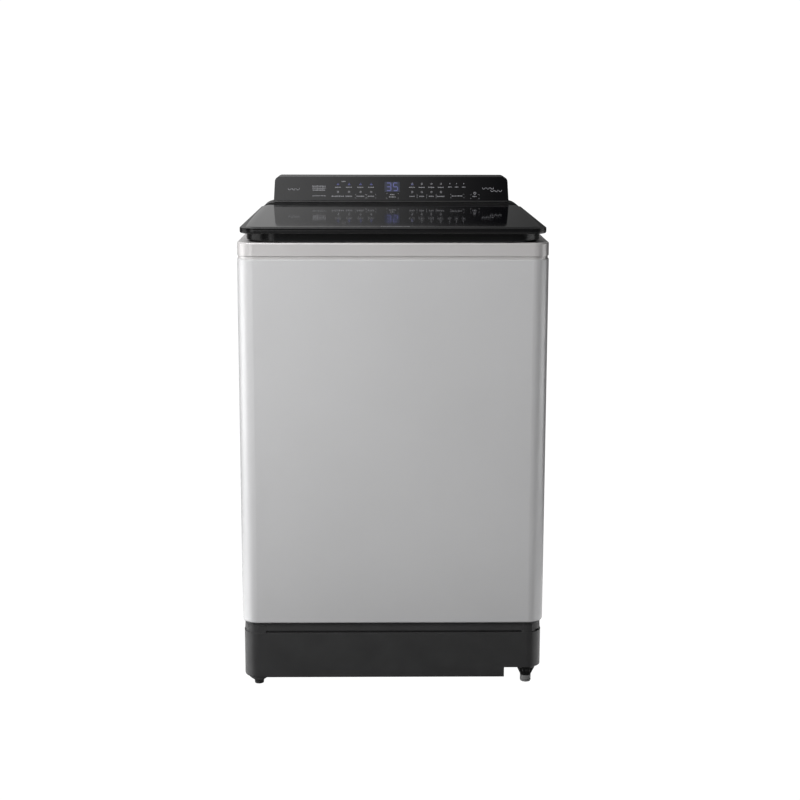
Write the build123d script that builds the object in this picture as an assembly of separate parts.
"""Top load washing machine: every physical piece is its own solid in its own node.

Frame: millimetres, +Z up, front faces -Y, +X to the right seen from the front.
Origin: floor level, in the middle of the machine's width and depth.
"""
from build123d import *
import math
import os

os.makedirs("parts", exist_ok=True)

# ---- driving dimensions -------------------------------------------------------------------
WIDTH = 643.0            # painted cabinet, across the sides
HEIGHT = 1051.0          # floor to the top of the console
REACH = 360.0            # half of the overall depth: lid lip in front, console at the rear
CABINET_FRONT = -347.5
CABINET_REAR = 344.0
CORNER_R = 34.0          # front vertical corners
REAR_R = 8.0             # rear vertical corners
SHEET = 1.0              # cabinet sheet steel
BASE_BOTTOM = 15.0
BASE_TOP = 137.0
SKIRT_TOP = 115.5
BAND_BOTTOM = 120.0      # recessed band between the skirt and the cabinet
SHELL_BOTTOM = 139.0
SHELL_TOP = 916.5
SEAM_TOP = 922.8         # the cover's recessed skirt shows between the shell and this height
COVER_TOP = 951.0        # silver top cover
LINER_FLOOR = 907.0      # black tray under the lid
TUB_Y = -8.0             # every rotating part turns about the vertical axis at this depth
MOUTH_R = 205.0          # round loading mouth
LID_BOTTOM = 953.0
LIP_BOTTOM = 970.0
RIM_INSET = 10.0         # the lid's lower rim stands this far in from its lip
RIM_R = 62.0             # front corners of the lower rim
LIP_TOP = 981.5
GLASS_TOP = 985.5
LID_REAR = 238.0
LID_HALF = 313.5         # half width over the lip
HINGE_Y = 231.0
HINGE_Z = 972.5
DECK_FRONT = 247.0       # black rear deck behind the lid
DECK_TOP = 979.0
CONSOLE_BASE = 989.0
CONSOLE_HALF = 286.5     # half width at its base
CONSOLE_HALF_TOP = 283.5
CONSOLE_FACE = 252.0     # depth of the face at its base
CONSOLE_LEAN = 14.0      # the face leans back by this much over its height
SKIN = 2.5               # plastic wall of covers and housings
FOOT_X = 287.0
FOOT_Y = 316.0           # rear feet
FRONT_FOOT_Y = -328.0    # fixed front foot
LEVELLER_Y = -321.0      # adjustable front foot
STUD_R = 5.0
ROD_SPREAD = 265.0       # suspension rods stand this far from the tub axis, along X and Y
ROD_R = 3.0
ROD_BOTTOM = 244.0
ROD_TOP = 880.0
LUG_BOTTOM = 318.0
TUB_R = 286.0
TUB_WALL = 3.0
TUB_BOTTOM = 245.0
TUB_TOP = 846.0
BASKET_R = 256.0
BASKET_BOTTOM = 288.0
BASKET_TOP = 813.0
BALANCE_TOP = 851.0
SPIN_SHAFT_R = 15.0
WASH_SHAFT_R = 8.0
RUN = 0.05               # radial clearance of a running fit
GAP = 0.3                # clearance between neighbours
BELT_BOTTOM = 137.0
BELT_TOP = 149.0
BIG_PULLEY_R = 90.0
SMALL_PULLEY_R = 25.0
BELT = 3.0
MOTOR_Y = TUB_Y + 172.0
DRAWER_X = (-250.0, -110.0)
DRAWER_Z = (911.0, 941.0)


# ---- helpers ------------------------------------------------------------------------------
def block(x0, x1, y0, y1, z0, z1):
    """Box between two opposite corners."""
    return Pos((x0 + x1) / 2, (y0 + y1) / 2, (z0 + z1) / 2) * Box(x1 - x0, y1 - y0, z1 - z0)


def post(radius, z0, z1, x=0.0, y=0.0):
    """Upright cylinder."""
    return Pos(x, y, (z0 + z1) / 2) * Cylinder(radius, z1 - z0)


def cone(r0, r1, z0, z1, x=0.0, y=0.0):
    """Upright cone frustum, radius r0 at z0 and r1 at z1."""
    return Pos(x, y, (z0 + z1) / 2) * Cone(r0, r1, z1 - z0)


def ring(outer, inner, z0, z1, x=0.0, y=0.0):
    """Upright tube."""
    return post(outer, z0, z1, x, y) - post(inner, z0 - 1, z1 + 1, x, y)


def rod_y(radius, y0, y1, x, z):
    """Cylinder lying along Y."""
    return Pos(x, (y0 + y1) / 2, z) * Rot(90, 0, 0) * Cylinder(radius, y1 - y0)


def rod_x(radius, x0, x1, y, z):
    """Cylinder lying along X."""
    return Pos((x0 + x1) / 2, y, z) * Rot(0, 90, 0) * Cylinder(radius, x1 - x0)


def plan(half, front, rear, r_front, r_rear):
    """Rounded outline seen from above."""
    face = Pos(0, (front + rear) / 2) * Rectangle(2 * half, rear - front)
    if r_front:
        face = fillet(face.vertices().group_by(Axis.Y)[0], r_front)
    if r_rear:
        face = fillet(face.vertices().group_by(Axis.Y)[-1], r_rear)
    return face


def slab(face, z0, z1):
    """The outline drawn out from z0 to z1."""
    return Pos(0, 0, z0) * extrude(face, z1 - z0)


def corners(spread_x, spread_y, centre_y=0.0):
    """The four corners of a rectangle round the upright axis."""
    return [(sx * spread_x, centre_y + sy * spread_y) for sy in (-1, 1) for sx in (-1, 1)]


def joined(pieces):
    """Separate solids that share one node."""
    return Compound(children=list(pieces))


def screw_y(x, z, y_head, side=1, radius=2.0, length=9.0):
    """Washer-head screw along Y; its head stands on the face y_head, towards side."""
    head = rod_y(4.5, min(y_head, y_head + side * 2.4), max(y_head, y_head + side * 2.4), x, z)
    tip = y_head - side * length
    body = rod_y(radius, min(y_head, tip), max(y_head, tip), x, z)
    slot = block(x - 3, x + 3, y_head + side * 2.4 - 1.0, y_head + side * 2.4 + 1.0, z - 0.5, z + 0.5)
    return head + body - slot


# ---- base, feet ---------------------------------------------------------------------------
BASE_HALF = 318.5
BASE_FRONT = -342.0
BASE_REAR = 340.0
NOTCH_X = 239.0
NOTCH_TOP = 37.0
BAND_TAPER = 3.0         # degrees: the band leans in towards its top
FOOT_SOCKET = 7.0        # the fixed feet stand out below this level
FOOT_POST_R = 21.0       # hollow posts over the feet
PLUG_R = 6.0
NUT_BOTTOM = 15.0        # the hand-turned lock nut, a cone under the raised corner


def base_frame():
    outer = slab(plan(BASE_HALF, BASE_FRONT, BASE_REAR, 32, 12), BASE_BOTTOM, SKIRT_TOP)
    lower_edge = outer.faces().sort_by(Axis.Z)[0].edges()
    outer = fillet(lower_edge, 3)
    groove = plan(BASE_HALF - 5, BASE_FRONT + 5, BASE_REAR - 5, 27, 8)
    outer += slab(groove, SKIRT_TOP - 1, BAND_BOTTOM + 1)
    band = plan(BASE_HALF - 1, BASE_FRONT + 1, BASE_REAR - 1, 31, 11)
    outer += Pos(0, 0, BAND_BOTTOM) * extrude(band, BASE_TOP - BAND_BOTTOM, taper=BAND_TAPER)
    inner = slab(plan(BASE_HALF - 9, BASE_FRONT + 9, BASE_REAR - 9, 23, 6), BASE_BOTTOM - 1, BASE_TOP - 4)
    well = slab(plan(BASE_HALF - 40, BASE_FRONT + 40, BASE_REAR - 40, 10, 10), BASE_TOP - 6, BASE_TOP + 1)
    shape = outer - inner - well
    # shelf of the motor driver
    shape += block(180, 302, 216, 326, BASE_TOP - 6, BASE_TOP)
    footprint = slab(plan(BASE_HALF - 1, BASE_FRONT + 1, BASE_REAR - 1, 31, 11), 0, BASE_TOP)
    for x, y in fixed_foot_places() + [(FOOT_X, LEVELLER_Y)]:
        floor = NOTCH_TOP if y == LEVELLER_Y else BASE_BOTTOM + 1
        shape += post(FOOT_POST_R, floor, BASE_TOP - 5, x, y) & footprint
        rib = block(*sorted((x, math.copysign(BASE_HALF - 4, x))), y - 4, y + 4, 60, BASE_TOP - 5)
        shape += rib & footprint
    shape -= block(NOTCH_X, BASE_HALF + 5, BASE_FRONT - 5, -FOOT_Y + 40, BASE_BOTTOM - 1, NOTCH_TOP)
    shape -= post(STUD_R + RUN, 0, 101, FOOT_X, LEVELLER_Y)
    for x, y in fixed_foot_places():
        shape += cone(10.5, 23.0, FOOT_SOCKET, BASE_BOTTOM + 2, x, y) & footprint
        shape -= post(PLUG_R, 0, 40, x, y)
    shape -= rod_y(16.0, BASE_REAR - 10, BASE_REAR + 4, SPIGOT_X, SPIGOT_Z)
    return shape


def fixed_foot_places():
    return [(-FOOT_X, FRONT_FOOT_Y), (-FOOT_X, FOOT_Y), (FOOT_X, FOOT_Y)]


def fixed_feet():
    """Three moulded rubber feet with a plug that presses into the base."""
    feet = []
    for x, y in fixed_foot_places():
        foot = cone(9.5, 10.5, 0, FOOT_SOCKET, x, y) + post(PLUG_R, FOOT_SOCKET - 1, 38, x, y)
        feet.append(foot)
    return joined(feet)


def levelling_foot():
    """Threaded stud on a round grooved pad."""
    pad = cone(10.8, 11.6, 0, 2, FOOT_X, LEVELLER_Y) + post(11.6, 2, NUT_BOTTOM - 1, FOOT_X, LEVELLER_Y)
    pad -= ring(13, 10.4, 4, 5.2, FOOT_X, LEVELLER_Y)
    return pad + post(STUD_R, NUT_BOTTOM - 2, 98, FOOT_X, LEVELLER_Y)


def foot_lock_nut():
    """Hand-turned lock nut: a fluted cone that is screwed up against the base."""
    top = NOTCH_TOP - 0.2
    body = cone(11.5, 20.5, NUT_BOTTOM, top - 3, FOOT_X, LEVELLER_Y)
    body += post(20.5, top - 3, top, FOOT_X, LEVELLER_Y)
    for i in range(12):
        flute = Pos(FOOT_X, LEVELLER_Y, 0) * Rot(0, 0, 30 * i) * post(2.2, NUT_BOTTOM - 1, top - 3, 18.5, 0)
        body -= flute
    return body - post(STUD_R + RUN, NUT_BOTTOM - 1, top + 1, FOOT_X, LEVELLER_Y)


# ---- cabinet ------------------------------------------------------------------------------
HALF = WIDTH / 2
HEM_R = 3.5              # rolled lower edge of the sheet
TOP_HEM_R = 1.5


def cabinet_shell():
    """One wrapped sheet: front and both sides, with turned-in flanges at top, bottom and rear."""
    outer = slab(plan(HALF, CABINET_FRONT, CABINET_REAR, CORNER_R, REAR_R), SHELL_BOTTOM, SHELL_TOP)
    outer = fillet(outer.faces().sort_by(Axis.Z)[0].edges(), HEM_R)
    outer = fillet(outer.faces().sort_by(Axis.Z)[-1].edges(), TOP_HEM_R)
    inner = slab(plan(HALF - SHEET, CABINET_FRONT + SHEET, CABINET_REAR - SHEET, CORNER_R - SHEET,
                      REAR_R - SHEET), SHELL_BOTTOM + SHEET, SHELL_TOP - SHEET)
    inner = fillet(inner.faces().sort_by(Axis.Z)[0].edges(), HEM_R - SHEET)
    well = slab(plan(HALF - 14, CABINET_FRONT + 14, CABINET_REAR - 16, CORNER_R - 14, 2),
                SHELL_BOTTOM - 1, SHELL_TOP + 1)
    opening = block(-HALF + 20, HALF - 20, CABINET_REAR - 20, CABINET_REAR + 1, SHELL_BOTTOM - 1,
                    SHELL_TOP + 1)
    shape = outer - inner - well - opening
    for x, z in rear_screw_places():
        shape -= rod_y(2.05, CABINET_REAR - 3, CABINET_REAR + 1, x, z)
    return shape


PANEL_Z = (SHELL_BOTTOM + 2.0, SHELL_TOP - 2.0)
SERVICE_HALF = 190.0
SERVICE_Z = (175.0, 620.0)


def rear_panel():
    """Flat sheet with a service opening and stiffening swages, screwed on the rear flanges."""
    y0 = CABINET_REAR
    shape = block(-HALF + 6, HALF - 6, y0, y0 + 1.0, *PANEL_Z)
    shape -= block(-SERVICE_HALF + 14, SERVICE_HALF - 14, y0 - 1, y0 + 3, SERVICE_Z[0] + 14,
                   SERVICE_Z[1] - 14)
    for z in (660.0, 720.0, 780.0):
        shape += block(-230, 180, y0 + 0.5, y0 + 3.5, z, z + 14)
    for x, z in rear_screw_places() + service_screw_places():
        shape -= rod_y(2.05, y0 - 2, y0 + 3, x, z)
    shape -= rod_y(GLAND_R + 4.0, y0 - 2, y0 + 3, GLAND_X, GLAND_Z)
    return shape


def rear_screw_places():
    return [(s * (HALF - 12), z) for s in (-1, 1) for z in (165.0, 412.0, 660.0, 904.0)]


def service_cover():
    """Shallow plastic cover over the service opening, with louvres near its top."""
    y0 = CABINET_REAR + 1.0
    z0, z1 = SERVICE_Z
    shape = block(-SERVICE_HALF, SERVICE_HALF, y0, y0 + 2.5, z0, z1)
    dome = block(-SERVICE_HALF + 22, SERVICE_HALF - 22, y0, y0 + 13, z0 + 22, z1 - 22)
    dome = fillet(dome.faces().sort_by(Axis.Y)[-1].edges(), 5)
    shape += dome
    shape -= block(-SERVICE_HALF + 25, SERVICE_HALF - 25, y0 - 1, y0 + 10.5, z0 + 25, z1 - 25)
    for i in range(6):
        shape -= block(-70, 70, y0 + 8, y0 + 14, z1 - 60 - 16 * i, z1 - 54 - 16 * i)
    for x, z in service_screw_places():
        shape -= rod_y(2.05, y0 - 2, y0 + 4, x, z)
    return shape


def service_screw_places():
    z0, z1 = SERVICE_Z
    return [(s * (SERVICE_HALF - 7), z) for s in (-1, 1) for z in (z0 + 40, (z0 + z1) / 2, z1 - 40)]


def rod_places():
    return corners(ROD_SPREAD, ROD_SPREAD, TUB_Y)


def suspension_hangers():
    """Corner gussets with a ball seat for each rod."""
    pieces = []
    for x, y in rod_places():
        sx = math.copysign(1, x)
        sy = math.copysign(1, y - TUB_Y)
        wall_x = sx * (HALF - SHEET - 0.1)
        wall_y = (CABINET_FRONT + SHEET + 0.1) if sy < 0 else (CABINET_REAR - SHEET - 0.1)
        inset = CORNER_R if sy < 0 else REAR_R
        a, b = sorted((x - sx * 14, wall_x))
        c, d = sorted((y - sy * 14, wall_y))
        plate = block(a, b, c, d, ROD_TOP - 15, ROD_TOP - 10)
        corner = block(*sorted((wall_x - sx * inset, wall_x + sx * 2)),
                       *sorted((wall_y - sy * inset, wall_y + sy * 2)), ROD_TOP - 20, ROD_TOP)
        side = block(*sorted((wall_x - sx * 2.5, wall_x)), *sorted((y - sy * 14, wall_y - sy * inset)),
                     ROD_TOP - 42, ROD_TOP - 10)
        seat = ring(12, 8.3, ROD_TOP - 19, ROD_TOP - 10, x, y)
        pieces.append((plate - corner + side + seat) - post(8.3, ROD_TOP - 20, ROD_TOP - 9, x, y))
    return joined(pieces)


def suspension_rods():
    """Steel rod with a ball head at the top and an upset foot at the bottom."""
    rods = []
    for x, y in rod_places():
        rod = post(ROD_R, ROD_BOTTOM, ROD_TOP - 6, x, y) + post(6, ROD_BOTTOM - 4, ROD_BOTTOM, x, y)
        rod += Pos(x, y, ROD_TOP - 10) * Sphere(8.2)
        rods.append(rod)
    return joined(rods)


def suspension_end_caps():
    """Plastic pistons that stand on the rod's upset foot and carry the spring."""
    return joined(ring(20.5, ROD_R, ROD_BOTTOM, ROD_BOTTOM + 8, x, y) for x, y in rod_places())


# ---- top cover, liner, drawer housing -----------------------------------------------------
OPEN_HALF = 296.0
OPEN_FRONT = -328.0
OPEN_REAR = 229.0
HOUSING_REAR = 326.0
NOZZLE_X = -130.0        # the valve's outlet nozzle enters the drawer housing here
NOZZLE_Y = 309.0
NOZZLE_R = 6.0


def top_cover():
    """Silver frame: outer skirt, flat rim and a closed deck at the rear."""
    outline = plan(HALF - 0.5, CABINET_FRONT + 0.5, CABINET_REAR + 1.0, CORNER_R - 1, REAR_R)
    outer = slab(outline, SEAM_TOP, COVER_TOP)
    outer = fillet(outer.faces().sort_by(Axis.Z)[-1].edges(), 3.5)
    outer = fillet(outer.faces().sort_by(Axis.Z)[0].edges(), 1.0)
    skirt = plan(HALF - 2.4, CABINET_FRONT + 2.4, CABINET_REAR - 0.6, CORNER_R - 2.4, REAR_R - 1.6)
    outer += slab(skirt, SHELL_TOP + 0.1, SEAM_TOP + 1.5)
    inner = slab(plan(HALF - 4, CABINET_FRONT + 4, CABINET_REAR - 2, CORNER_R - 4, REAR_R - 3),
                 SHELL_TOP, COVER_TOP - 3)
    opening = slab(plan(OPEN_HALF, OPEN_FRONT, OPEN_REAR, 20, 6), SHELL_TOP, COVER_TOP + 1)
    shape = outer - inner - opening
    hatch = block(DRAWER_X[0] - 8, HALF - 60, OPEN_REAR + 20, CABINET_REAR - 20, COVER_TOP - 5,
                  COVER_TOP + 1)
    shape -= hatch
    for x, y in cover_screw_places():
        shape -= post(2.05, COVER_TOP - 6, COVER_TOP + 1, x, y)
    return shape


def cover_screw_places():
    return [(-290.0, 322.0), (-290.0, 258.0), (290.0, 258.0), (290.0, 322.0)]


def deck_liner():
    """Black tray under the lid with the round loading mouth and its collar."""
    edge = OPEN_HALF - GAP
    outline = plan(edge, OPEN_FRONT + GAP, OPEN_REAR - GAP, 20 - GAP, 6 - GAP)
    outer = slab(outline, LINER_FLOOR, COVER_TOP)
    rim = 3.0
    inner = slab(plan(edge - rim, OPEN_FRONT + GAP + rim, OPEN_REAR - GAP - rim, 17, 3),
                 LINER_FLOOR + 3, COVER_TOP + 1)
    shape = outer - inner
    shape += cone(MOUTH_R - 2, MOUTH_R + 14, LINER_FLOOR - 26, LINER_FLOOR + 1, 0, TUB_Y)
    shape -= cone(MOUTH_R - 5, MOUTH_R + 11.5, LINER_FLOOR - 27, LINER_FLOOR + 4, 0, TUB_Y)
    # dished corners: the floor is carried by ribs underneath
    for x in (-250.0, 250.0):
        shape += block(x - 1.5, x + 1.5, -250, -140, LINER_FLOOR - 18, LINER_FLOOR + 1)
    shape -= block(DRAWER_X[0] - 4, DRAWER_X[1] + 4, OPEN_REAR - 8, OPEN_REAR + 2,
                   DRAWER_Z[0] - 0.5, DRAWER_Z[1] + 4)
    for x in HINGE_X:
        shape -= block(x - 12, x + 12, OPEN_REAR - 8, OPEN_REAR + 2, COVER_TOP - 14, COVER_TOP + 1)
    return shape


def dispenser_housing():
    """Box behind the liner that the drawer runs in and the fill water floods."""
    x0, x1 = DRAWER_X
    z0, z1 = DRAWER_Z
    shape = block(x0 - 4, x1 + 4, OPEN_REAR + 0.5, HOUSING_REAR, z0 - 4, z1 + 4)
    shape -= block(x0 - 1, x1 + 1, OPEN_REAR, HOUSING_REAR - 3, z0 - 0.6, z1 + 1)
    shape -= post(NOZZLE_R + 0.2, z1, z1 + 5, NOZZLE_X, NOZZLE_Y)
    shape -= block(x0 + 20, x1 - 20, OPEN_REAR - 1, OPEN_REAR + 14, z0 - 5, z0)
    return shape


def detergent_drawer():
    """Pull-out tray with a powder and a softener compartment and a finger front."""
    x0, x1 = DRAWER_X
    z0, z1 = DRAWER_Z
    front = OPEN_REAR - 6.0
    rear = HOUSING_REAR - 6.0
    shape = block(x0, x1, front, rear, z0, z1)
    middle = x0 + 86
    shape -= block(x0 + 2.5, middle, front + 4, rear - 3, z0 + 2.5, z1 + 1)
    shape -= block(middle + 2.5, x1 - 2.5, front + 4, rear - 3, z0 + 2.5, z1 + 1)
    shape += block(x0 - 3, x1 + 3, front - 3, front + 1, z0, z1 + 3)
    shape -= block((x0 + x1) / 2 - 24, (x0 + x1) / 2 + 24, front - 4, front - 1.2, z0 + 6, z0 + 20)
    return shape


# ---- lid ----------------------------------------------------------------------------------
HINGE_X = (-262.0, 262.0)
PIN_R = 3.0
PIN_HALF = 17.0
KNUCKLE = 19.0            # width of the fixed knuckle between the lid's lugs


def lid_frame():
    """Black frame: recessed lower rim, overhanging lip and a ledge for the glass."""
    rim_half = LID_HALF - RIM_INSET
    lower = slab(plan(rim_half, -REACH + 12, LID_REAR - 4, RIM_R, 4), LID_BOTTOM, LIP_BOTTOM + 1)
    lower = fillet(lower.faces().sort_by(Axis.Z)[0].edges(), 2.5)
    lip = slab(plan(LID_HALF, -REACH, LID_REAR, 30, 8), LIP_BOTTOM, LIP_TOP)
    lip = fillet(lip.faces().sort_by(Axis.Z)[0].edges(), 4)
    outer = lower + lip
    hollow = slab(plan(rim_half - 4, -REACH + 16, LID_REAR - 10, RIM_R - 4, 2), LID_BOTTOM - 1, LIP_TOP - 6)
    window = slab(plan(LID_HALF - 42, -REACH + 52, LID_REAR - 36, 20, 12), LID_BOTTOM - 1, LIP_TOP + 1)
    shape = outer - hollow - window
    for x in HINGE_X:
        shape += block(x - 19, x + 19, HINGE_Y - 8, LID_REAR - 5, LID_BOTTOM + 2, LIP_TOP - 5)
        shape -= block(x - KNUCKLE / 2 - 0.7, x + KNUCKLE / 2 + 0.7, HINGE_Y - 9, LID_REAR + 1,
                       LID_BOTTOM - 1, HINGE_Z + 7)
        shape -= rod_x(PIN_R, x - PIN_HALF, x + PIN_HALF, HINGE_Y, HINGE_Z)
    shape += block(LOCK_X + 1, LOCK_X + 5, LOCK_Y - 14, LOCK_Y + 14, LID_BOTTOM + 0.5, LIP_TOP - 5)
    shape -= block(LOCK_X, LOCK_X + 6, LOCK_Y - 9, LOCK_Y + 9, BOLT_Z - 4.2, BOLT_Z + 4.2)
    return shape


def lid_glass():
    """Tempered glass pane bonded on the frame, with a bevelled edge all round."""
    pane = slab(plan(LID_HALF - 1.5, -REACH + 1.5, LID_REAR - 1, 29, 7), LIP_TOP, GLASS_TOP)
    return chamfer(pane.faces().sort_by(Axis.Z)[-1].edges(), 2.0)


def lid_hinge_pins():
    return joined(rod_x(PIN_R, x - PIN_HALF, x + PIN_HALF, HINGE_Y, HINGE_Z) for x in HINGE_X)


BUFFER_X = (-240.0, 240.0)


def lid_buffers():
    """Rubber stops under the front rim of the lid."""
    return joined(post(5, COVER_TOP + 0.2, LID_BOTTOM, x, -REACH + 22) for x in BUFFER_X)


LOCK_X = 275.0
LOCK_Y = 130.0
BOLT_Z = 961.0


def lid_lock():
    """Electric lock in the tray's right side, with a slot that the bolt slides in."""
    shape = block(LOCK_X - 34, LOCK_X - 2, LOCK_Y - 22, LOCK_Y + 22, LINER_FLOOR + 3.2, BOLT_Z + 5)
    shape -= block(LOCK_X - 30, LOCK_X + 1, LOCK_Y - 7.5, LOCK_Y + 7.5, BOLT_Z - 3.3, BOLT_Z + 3.3)
    return shape


def lid_lock_bolt():
    """Flat bolt, drawn here in its open position."""
    return block(LOCK_X - 29, LOCK_X - 3, LOCK_Y - 7.2, LOCK_Y + 7.2, BOLT_Z - 3, BOLT_Z + 3)


def hinge_brackets():
    """Steel knuckles that carry the lid's pins, screwed to the top cover."""
    pieces = []
    for x in HINGE_X:
        half = KNUCKLE / 2
        knuckle = rod_x(6.0, x - half, x + half, HINGE_Y, HINGE_Z)
        stem = block(x - half, x + half, HINGE_Y + 1, HINGE_Y + 5, COVER_TOP + 0.1, HINGE_Z)
        foot = block(x - half, x + half, HINGE_Y + 1, DECK_FRONT - 1, COVER_TOP + 0.1, COVER_TOP + 2.6)
        bore = rod_x(PIN_R + RUN, x - half - 1, x + half + 1, HINGE_Y, HINGE_Z)
        pieces.append(knuckle + stem + foot - bore)
    return joined(pieces)


def lid_damper():
    """Soft-close cylinder under the rear deck, its arm reaching the left hinge."""
    x = HINGE_X[0] + 24
    z = COVER_TOP + 9
    saddle = block(x + 6, x + 54, DECK_FRONT + 9, DECK_FRONT + 19, COVER_TOP + 0.1, z)
    return rod_x(6.5, x, x + 60, DECK_FRONT + 14, z) + saddle


# ---- rear deck and console ----------------------------------------------------------------
INLET_X = (-60.0, 60.0)
INLET_Z = 967.5
INLET_R = 13.2           # three-quarter inch hose thread
INLET_FREE = 16.5        # free length of each thread
GLAND_X = 250.0
GLAND_Z = 800.0
GLAND_R = 4.2
SPIGOT_X = -215.0
SPIGOT_Z = 88.0


def rear_deck():
    """Black shoulder behind the lid: sloping ends, open underneath and at the rear."""
    half = LID_HALF - 1
    with BuildPart() as deck:
        with BuildSketch(Plane.XZ.offset(-DECK_FRONT)):
            with BuildLine():
                right = [(CONSOLE_HALF + 6, CONSOLE_BASE), (CONSOLE_HALF + 17, CONSOLE_BASE - 3.5),
                         (half - 3, DECK_TOP + 3), (half, DECK_TOP - 1), (half, COVER_TOP + 0.2)]
                left = [(-x, z) for x, z in reversed(right)]
                Polyline(*left, *right, close=True)
            make_face()
        extrude(amount=-(CABINET_REAR + 12 - DECK_FRONT))
    shape = deck.part
    shape -= block(-half + SKIN, half - SKIN, DECK_FRONT + SKIN, REACH + 1, COVER_TOP - 1, DECK_TOP - SKIN)
    shape -= block(-CONSOLE_HALF + 8, CONSOLE_HALF - 8, DECK_FRONT + SKIN, REACH + 1, COVER_TOP - 1,
                   CONSOLE_BASE - SKIN)
    shape -= block(-CONSOLE_HALF + 12, CONSOLE_HALF - 12, DECK_FRONT + 30, REACH - 24, DECK_TOP - 4,
                   CONSOLE_BASE + 1)
    y0 = CABINET_REAR - 4
    shape += block(-half + 1, half - 1, y0, y0 + 3, COVER_TOP + 0.4, DECK_TOP - 1)
    shape += block(-CONSOLE_HALF + 7, CONSOLE_HALF - 7, y0, y0 + 3, DECK_TOP - 2, CONSOLE_BASE - 1)
    for x in INLET_X:
        shape -= rod_y(INLET_R + 1.3, y0 - 1, y0 + 4, x, INLET_Z)
    return shape


CONSOLE_SPAN = (900.0, 1200.0)   # cutting blocks reach over the whole console
CONSOLE_CORNER_R = 12.0


def console_outline(offset):
    """Front view of the console with rounded top corners, drawn in by offset."""
    r = CONSOLE_CORNER_R - offset / 2
    w0 = CONSOLE_HALF - offset
    w1 = CONSOLE_HALF_TOP - offset
    top = HEIGHT - offset
    low = CONSOLE_BASE + offset
    face = make_face(Polyline((-w0, low), (-w1, top), (w1, top), (w0, low), close=True))
    return fillet(face.vertices().group_by(Axis.Y)[-1], r)


def console_block(offset, front, rear):
    """The console's outline drawn out in depth between two leaning or upright planes."""
    shape = Rot(90, 0, 0) * extrude(console_outline(offset), -(REACH + 60))
    return (shape - leaning_half_space(front)) & block(-WIDTH, WIDTH, 0, rear, *CONSOLE_SPAN)


def leaning_half_space(front):
    """Everything in front of the leaning face whose base is at depth front."""
    low, high = CONSOLE_SPAN
    slope = CONSOLE_LEAN / (HEIGHT - CONSOLE_BASE)
    y_low = front + (low - CONSOLE_BASE) * slope
    y_high = front + (high - CONSOLE_BASE) * slope
    outline = make_face(Polyline((-50, low), (y_low, low), (y_high, high), (-50, high), close=True))
    return extrude(Plane.YZ.offset(-WIDTH) * outline, 2 * WIDTH)


FASCIA = 3.0


def console_housing():
    """Black body behind the fascia: rim, top and sides, open at the rear."""
    shape = console_block(0, CONSOLE_FACE + FASCIA, REACH)
    shape -= console_block(SKIN, CONSOLE_FACE + FASCIA + SKIN, REACH + 10)
    return shape


def console_fascia():
    """Glossy touch panel over the whole face of the console."""
    return console_block(0, CONSOLE_FACE, REACH) - console_block(-2, CONSOLE_FACE + FASCIA - 0.001, REACH + 5)


def console_back_cover():
    """Closing panel inside the rear rim of the console, with vents."""
    inset = SKIN + 0.2
    shape = console_block(inset, CONSOLE_FACE + 50, REACH - 1)
    shape -= block(-WIDTH, WIDTH, 0, REACH - 4, *CONSOLE_SPAN)
    for i in range(9):
        x = -160 + 40 * i
        shape -= block(x - 12, x + 12, REACH - 5, REACH, CONSOLE_BASE + 25, CONSOLE_BASE + 28)
    return shape


def leaning_board(half, z0, z1, depth, thick):
    """Flat board parallel to the console's face, depth behind it."""
    shape = console_block(4, CONSOLE_FACE + depth, REACH)
    shape -= console_block(3, CONSOLE_FACE + depth + thick, REACH + 5)
    return shape & block(-half, half, 0, REACH, z0, z1)


def touch_board():
    return leaning_board(230, CONSOLE_BASE + 7, HEIGHT - 9, 7.0, 1.6)


def display_module():
    """Two-digit display block behind the middle of the fascia."""
    return leaning_board(24, CONSOLE_BASE + 29, HEIGHT - 9, 9.0, 8.0)


def control_board():
    """Main circuit board lying flat in the console, with its tallest parts and its stand-offs."""
    z = CONSOLE_BASE + 6
    shape = block(-190, -30, 290, 348, z, z + 1.6)
    for x in (-170.0, -120.0, -70.0):
        shape += block(x - 12, x + 12, 306, 326, z + 1.6, z + 20)
        shape += post(3, CONSOLE_BASE + SKIN, z, x, 342)
    return shape


def inlet_valve():
    """Twin solenoid inlet valve: threaded ends at the rear, nozzle down into the drawer housing."""
    shape = block(-84, 84, NOZZLE_Y - 13, NOZZLE_Y + 13, INLET_Z - 10, INLET_Z + 8)
    for x in INLET_X:
        shape += rod_y(INLET_R + 0.8, NOZZLE_Y + 12, REACH - INLET_FREE, x, INLET_Z)
        shape += rod_y(INLET_R, REACH - INLET_FREE - 1, REACH, x, INLET_Z)
        shape -= rod_y(8.0, NOZZLE_Y + 29, REACH + 1, x, INLET_Z)
        shape += rod_y(15.5, NOZZLE_Y + 13, NOZZLE_Y + 18, x, INLET_Z)
    shape += rod_x(NOZZLE_R, NOZZLE_X, -80, NOZZLE_Y, INLET_Z - 1)
    shape += Pos(NOZZLE_X, NOZZLE_Y, INLET_Z - 1) * Sphere(NOZZLE_R)
    return shape + post(NOZZLE_R, DRAWER_Z[1] + 1.5, INLET_Z - 1, NOZZLE_X, NOZZLE_Y)


def bent_tube(points, radii, r_out, r_in):
    """Tube along straight runs joined by tangent arcs."""
    path = FilletPolyline(*points, radius=radii)
    section = Plane(origin=path @ 0, z_dir=path % 0)
    outer = sweep(section * Circle(r_out), path=path)
    inner = sweep(section * Circle(r_in), path=path)
    return outer - inner


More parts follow.
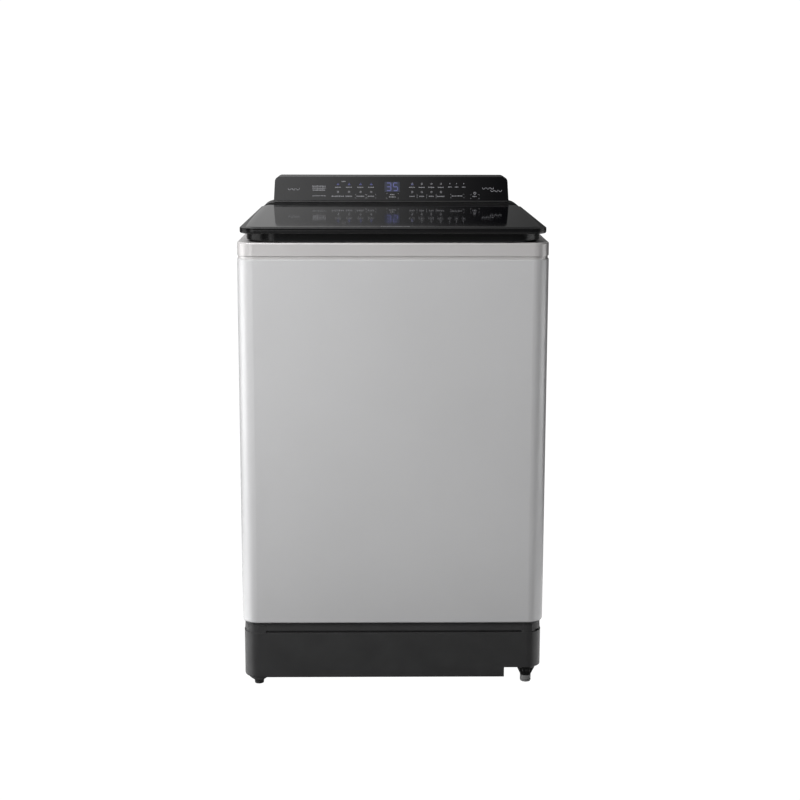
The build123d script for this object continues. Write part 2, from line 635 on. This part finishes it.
def cable_gland():
    """Strain-relief bush for the supply lead, seated in the rear panel."""
    y0 = CABINET_REAR + 1.0
    shape = rod_y(11, y0, y0 + 11, GLAND_X, GLAND_Z) + rod_y(GLAND_R + 4.0, y0 - 6, y0, GLAND_X, GLAND_Z)
    return shape - rod_y(GLAND_R, y0 - 7, y0 + 12, GLAND_X, GLAND_Z)


def driver_box():
    """Motor driver in a lidded plastic box on the base's right rear shelf."""
    shape = block(190, 290, 229, 309, BASE_TOP, BASE_TOP + 46)
    return fillet(shape.edges().filter_by(Axis.Z), 4)


def drain_spigot():
    """Flanged outlet pipe through the rear wall of the base."""
    shape = rod_y(16, BASE_REAR - 24, REACH, SPIGOT_X, SPIGOT_Z)
    shape += rod_y(24, BASE_REAR, BASE_REAR + 3, SPIGOT_X, SPIGOT_Z)
    return shape - rod_y(13, BASE_REAR - 25, REACH + 1, SPIGOT_X, SPIGOT_Z)


# ---- tub and drive ------------------------------------------------------------------------
def outer_tub():
    """Plastic tub with a stiffened floor, corner lugs and a drain outlet."""
    shape = ring(TUB_R, TUB_R - TUB_WALL, TUB_BOTTOM, TUB_TOP, 0, TUB_Y)
    shape += post(TUB_R - 0.5, TUB_BOTTOM, TUB_BOTTOM + 5, 0, TUB_Y)
    shape += ring(TUB_R + 5, TUB_R - 1, TUB_TOP - 6, TUB_TOP, 0, TUB_Y)
    for z in (420.0, 640.0):
        shape += ring(TUB_R + 3, TUB_R - 1, z, z + 5, 0, TUB_Y)
    for x, y in rod_places():
        angle = math.degrees(math.atan2(y - TUB_Y, x))
        distance = math.hypot(x, y - TUB_Y)
        arm = block(TUB_R - 1, distance + 14, -22, 22, LUG_BOTTOM, LUG_BOTTOM + 7)
        web = block(TUB_R - 1, TUB_R + 45, -3, 3, LUG_BOTTOM + 6, LUG_BOTTOM + 60)
        shape += Pos(0, TUB_Y, 0) * Rot(0, 0, angle) * (arm + web)
    for x, y in rod_places():
        shape -= post(ROD_R + 1.5, LUG_BOTTOM - 5, LUG_BOTTOM + 12, x, y)
    shape -= post(32 + GAP, TUB_BOTTOM - 1, TUB_BOTTOM + 6, 0, TUB_Y)
    shape -= post(18, TUB_BOTTOM - 1, TUB_BOTTOM + 6, DRAIN_X, DRAIN_Y)
    return shape


def tub_cover():
    """Splash ring snapped on the tub's rim."""
    shape = ring(TUB_R + 5, 236, TUB_TOP + 0.2, TUB_TOP + 20, 0, TUB_Y)
    return shape - ring(TUB_R + 2.5, 230, TUB_TOP - 1, TUB_TOP + 17.5, 0, TUB_Y)


PLATE_Z = (TUB_BOTTOM - 10.0, TUB_BOTTOM - 5.0)


def mount_plate():
    """Pressed steel plate that carries the bearing housing and the motor under the tub."""
    z0, z1 = PLATE_Z
    shape = post(120, z0, z1, 0, TUB_Y) + block(-70, 70, TUB_Y, MOTOR_Y + 72, z0, z1)
    for x, y in corners(78, 78, TUB_Y):
        shape += post(9, z1 - 0.5, TUB_BOTTOM - 0.2, x, y)
        shape -= post(4.05, z0 - 1, TUB_BOTTOM, x, y)
    return shape - post(58.2, z0 - 1, z1 + 1, 0, TUB_Y) - post(12, z0 - 1, z1 + 1, 0, MOTOR_Y)


def mount_plate_bolts():
    z0 = PLATE_Z[0]
    return joined(Pos(x, y, z0 - 5) * extrude(RegularPolygon(7, 6), 5) + post(4, z0, TUB_BOTTOM - 1, x, y)
                  for x, y in corners(78, 78, TUB_Y))


def bearing_housing():
    """Cast housing of the two bearings and the clutch, hung through the plate."""
    shape = post(58, 178, TUB_BOTTOM - 0.3, 0, TUB_Y)
    shape -= post(31, 177, 200, 0, TUB_Y) + post(31, 226, TUB_BOTTOM, 0, TUB_Y)
    shape -= post(24, 199, 227, 0, TUB_Y)
    return shape


def bearings():
    """Lower and upper ball bearing, each as one sleeve between the housing and the spin shaft."""
    return joined(ring(31, SPIN_SHAFT_R + RUN, z0, z0 + 16, 0, TUB_Y) for z0 in (180.0, TUB_BOTTOM - 17))


def shaft_seal():
    """Rubber lip seal in the tub floor round the spin shaft."""
    return ring(32, SPIN_SHAFT_R + RUN, TUB_BOTTOM, TUB_BOTTOM + 10, 0, TUB_Y)


def motor_housing():
    """Wash motor with a ribbed casing, bolted under the plate."""
    shape = post(64, 168, PLATE_Z[0] - 6, 0, MOTOR_Y)
    shape += post(44, 160, 169, 0, MOTOR_Y)
    for i in range(12):
        fin = Pos(0, MOTOR_Y, 0) * Rot(0, 0, 30 * i) * block(62, 68, -2, 2, 174, PLATE_Z[0] - 12)
        shape += fin
    shape += post(18, PLATE_Z[0] - 7, PLATE_Z[0] - 0.1, 0, MOTOR_Y)
    return shape - post(10 + GAP, 150, PLATE_Z[0] + 1, 0, MOTOR_Y)


def motor_shaft():
    return post(7, 126, PLATE_Z[0] - 12, 0, MOTOR_Y)


def motor_pulley():
    """Small flanged pulley pressed on the motor shaft."""
    shape = post(SMALL_PULLEY_R, BELT_BOTTOM - 3, BELT_TOP + 3, 0, MOTOR_Y)
    shape += post(SMALL_PULLEY_R + 3.5, BELT_BOTTOM - 5, BELT_BOTTOM - 3, 0, MOTOR_Y)
    shape += post(SMALL_PULLEY_R + 3.5, BELT_TOP + 3, BELT_TOP + 5, 0, MOTOR_Y)
    return shape - post(7, 120, 170, 0, MOTOR_Y)


def drive_belt():
    """Ribbed belt loop round both pulleys."""
    clear = 0.2
    centre = MOTOR_Y - TUB_Y

    def loop(grow):
        big = BIG_PULLEY_R + clear + grow
        small = SMALL_PULLEY_R + clear + grow
        tilt = math.asin((big - small) / centre)
        reach = math.cos(tilt)
        sine = math.sin(tilt)
        tangents = [(big * reach, TUB_Y + big * sine), (small * reach, MOTOR_Y + small * sine)]
        quad = Polyline(tangents[0], tangents[1], (-tangents[1][0], tangents[1][1]),
                        (-tangents[0][0], tangents[0][1]), close=True)
        face = make_face(quad) + Pos(0, TUB_Y) * Circle(big) + Pos(0, MOTOR_Y) * Circle(small)
        return face

    height = BELT_TOP - BELT_BOTTOM
    return Pos(0, 0, BELT_BOTTOM) * (extrude(loop(BELT), height) - extrude(loop(0), height))


DRAIN_X = -150.0
DRAIN_Y = TUB_Y + 40.0


def drain_valve():
    """Valve body under the tub floor with a side outlet towards the rear."""
    shape = ring(18, 13, 196, TUB_BOTTOM + 5, DRAIN_X, DRAIN_Y) + post(22, 178, 200, DRAIN_X, DRAIN_Y)
    shape += rod_y(13, DRAIN_Y + 15, DRAIN_Y + 46, DRAIN_X, 189)
    return shape - rod_y(10, DRAIN_Y + 5, DRAIN_Y + 47, DRAIN_X, 189)


def drain_actuator():
    """Pull motor of the drain valve and clutch lever."""
    shape = block(DRAIN_X - 62, DRAIN_X - 24, DRAIN_Y - 30, DRAIN_Y + 24, 182, 216)
    shape += block(DRAIN_X - 26, DRAIN_X - 22.1, DRAIN_Y - 4, DRAIN_Y + 4, 186, 196)
    return shape + post(8, 215, TUB_BOTTOM - 0.2, DRAIN_X - 44, DRAIN_Y)


HOSE_R = 15.0
HOSE_ROUTE = [(DRAIN_X, DRAIN_Y + 46.5, 189.0), (DRAIN_X, 155.0, 189.0), (SPIGOT_X + 15, 218.0, 120.0),
              (SPIGOT_X, 262.0, SPIGOT_Z), (SPIGOT_X, BASE_REAR - 24.5, SPIGOT_Z)]
HOSE_RADII = [40.0, 40.0, 40.0]


def drain_hose():
    """Corrugated hose from the valve on the tub to the outlet in the base."""
    return bent_tube(HOSE_ROUTE, HOSE_RADII, HOSE_R, 12.0)


def damper_cups():
    """Bells under the tub's lugs that slide over the rod's pistons."""
    cups = []
    for x, y in rod_places():
        cup = ring(24, 21.2, 262, LUG_BOTTOM, x, y) + ring(24, ROD_R + 1.5, LUG_BOTTOM - 4, LUG_BOTTOM, x, y)
        cups.append(cup)
    return joined(cups)


def suspension_springs():
    """Coil springs, drawn as sleeves of the coil's outer and inner size."""
    return joined(ring(17, 13, ROD_BOTTOM + 8.2, LUG_BOTTOM - 4.2, x, y) for x, y in rod_places())


# ---- basket -------------------------------------------------------------------------------
BASKET_WALL = 1.0


def basket_shell():
    """Stainless drum wall with a turned-in lower flange."""
    shape = ring(BASKET_R, BASKET_R - BASKET_WALL, BASKET_BOTTOM, BASKET_TOP, 0, TUB_Y)
    return shape + ring(BASKET_R - 0.5, BASKET_R - 14, BASKET_BOTTOM, BASKET_BOTTOM + 2, 0, TUB_Y)


def balance_ring():
    """Hollow liquid-filled ring on top of the drum."""
    shape = ring(BASKET_R + 8, 216, BASKET_TOP, BALANCE_TOP, 0, TUB_Y)
    top = shape.faces().sort_by(Axis.Z)[-1].edges()
    shape = fillet(top, 7)
    return shape - ring(BASKET_R + 4, 221, BASKET_TOP + 4, BALANCE_TOP - 5, 0, TUB_Y)


def basket_base():
    """Moulded drum floor with a shallow dish for the pulsator."""
    shape = post(BASKET_R - BASKET_WALL - 0.1, BASKET_BOTTOM + 2.1, 322, 0, TUB_Y)
    shape -= ring(204, 60, 280, 294, 0, TUB_Y)
    shape -= cone(182, 200, 300, 323, 0, TUB_Y)
    shape -= post(26.2, 280, 330, 0, TUB_Y)
    for i in range(8):
        pocket = Pos(0, TUB_Y, 0) * Rot(0, 0, 45 * i + 22.5) * Pos(216, 0, 304) * Box(24, 60, 30)
        shape -= pocket
    return shape


def basket_hub():
    """Aluminium flange and steel spin tube that carry the basket."""
    shape = post(SPIN_SHAFT_R, 160, 292, 0, TUB_Y) + post(26, 262, 296, 0, TUB_Y)
    shape += post(110, 276, 286, 0, TUB_Y)
    for i in range(3):
        shape += Pos(0, TUB_Y, 0) * Rot(0, 0, 120 * i + 90) * block(100, BASKET_R - 16, -24, 24, 278, 287.8)
    return shape - post(WASH_SHAFT_R + RUN, 150, 300, 0, TUB_Y)


FILTER_Z = (520.0, 700.0)


def lint_filter():
    """Clip-in lint trap: a curved plastic frame against the drum wall at the rear."""
    outer = BASKET_R - BASKET_WALL - GAP
    shape = ring(outer, outer - 14, *FILTER_Z, 0, TUB_Y) & block(-42, 42, 100, 300, 400, 800)
    hollow = ring(outer + 1, outer - 11.5, FILTER_Z[0] + 6, FILTER_Z[1] - 6, 0, TUB_Y)
    shape -= hollow & block(-36, 36, 100, 300, 400, 800)
    return shape


# ---- pulsator -----------------------------------------------------------------------------
def pulsator():
    """Ribbed wash plate with a raised centre and curved vanes."""
    shape = cone(176, 178, 302, 308, 0, TUB_Y) + cone(60, 40, 307, 330, 0, TUB_Y)
    for i in range(6):
        vane = block(36, 168, -9, 9, 306, 322)
        vane = chamfer(vane.edges().filter_by(Axis.X).group_by(Axis.Z)[-1], 6)
        shape += Pos(0, TUB_Y, 0) * Rot(0, 0, 60 * i) * vane
    shape -= post(WASH_SHAFT_R, 290, 324, 0, TUB_Y) + post(9, 323.5, 340, 0, TUB_Y)
    return shape


def pulsator_screw():
    return post(8, 324, 329, 0, TUB_Y) + post(3, 306, 325, 0, TUB_Y)


def wash_shaft():
    shape = post(WASH_SHAFT_R, 120, 323.5, 0, TUB_Y)
    return shape - post(3, 305, 330, 0, TUB_Y)


def drive_pulley():
    """Large spoked pulley on the wash shaft."""
    shape = post(BIG_PULLEY_R, BELT_BOTTOM - 3, BELT_TOP + 3, 0, TUB_Y)
    shape -= ring(BIG_PULLEY_R - 8, 28, BELT_BOTTOM - 4, BELT_BOTTOM + 3, 0, TUB_Y)
    shape -= ring(BIG_PULLEY_R - 8, 28, BELT_TOP - 3, BELT_TOP + 4, 0, TUB_Y)
    for i in range(6):
        shape -= Pos(0, TUB_Y, 0) * Rot(0, 0, 60 * i) * Pos(56, 0, BELT_BOTTOM) * Cylinder(14, 40)
    return shape - post(WASH_SHAFT_R, 100, 170, 0, TUB_Y)


def pulley_nut():
    nut = Pos(0, TUB_Y, 124) * extrude(RegularPolygon(15, 6), 9.9)
    return nut - post(WASH_SHAFT_R, 100, 140, 0, TUB_Y)


def cabinet_screws():
    """The washer-head screws of the rear panel, the service cover and the top cover."""
    screws = [screw_y(x, z, CABINET_REAR + 1.0) for x, z in rear_screw_places()]
    screws += [screw_y(x, z, CABINET_REAR + 3.5, length=3.5) for x, z in service_screw_places()]
    for x, y in cover_screw_places():
        head = post(4.5, COVER_TOP + 0.05, COVER_TOP + 2.4, x, y)
        screws.append(head + post(2.0, COVER_TOP - 9, COVER_TOP + 0.1, x, y))
    return joined(screws)


NODES = [
    base_frame, fixed_feet, levelling_foot, foot_lock_nut, cabinet_shell, rear_panel, cabinet_screws,
    service_cover, suspension_hangers, suspension_rods, suspension_end_caps, top_cover, deck_liner,
    dispenser_housing, detergent_drawer, lid_frame, lid_glass, lid_hinge_pins, lid_buffers, lid_lock,
    lid_lock_bolt, hinge_brackets, lid_damper, rear_deck, console_housing, console_fascia,
    console_back_cover, touch_board, display_module, control_board, inlet_valve, cable_gland,
    driver_box, drain_spigot, drain_hose, outer_tub, tub_cover, mount_plate, mount_plate_bolts,
    bearing_housing, bearings, shaft_seal, motor_housing, drive_belt, drain_valve, drain_actuator,
    damper_cups, suspension_springs, basket_shell, balance_ring, basket_base, basket_hub, lint_filter,
    pulsator, pulsator_screw, wash_shaft, drive_pulley, pulley_nut, motor_shaft, motor_pulley,
]

if __name__ == "__main__":
    for make in NODES:
        export_step(make(), f"parts/{make.__name__}.step")
    print(len(NODES), "nodes written")
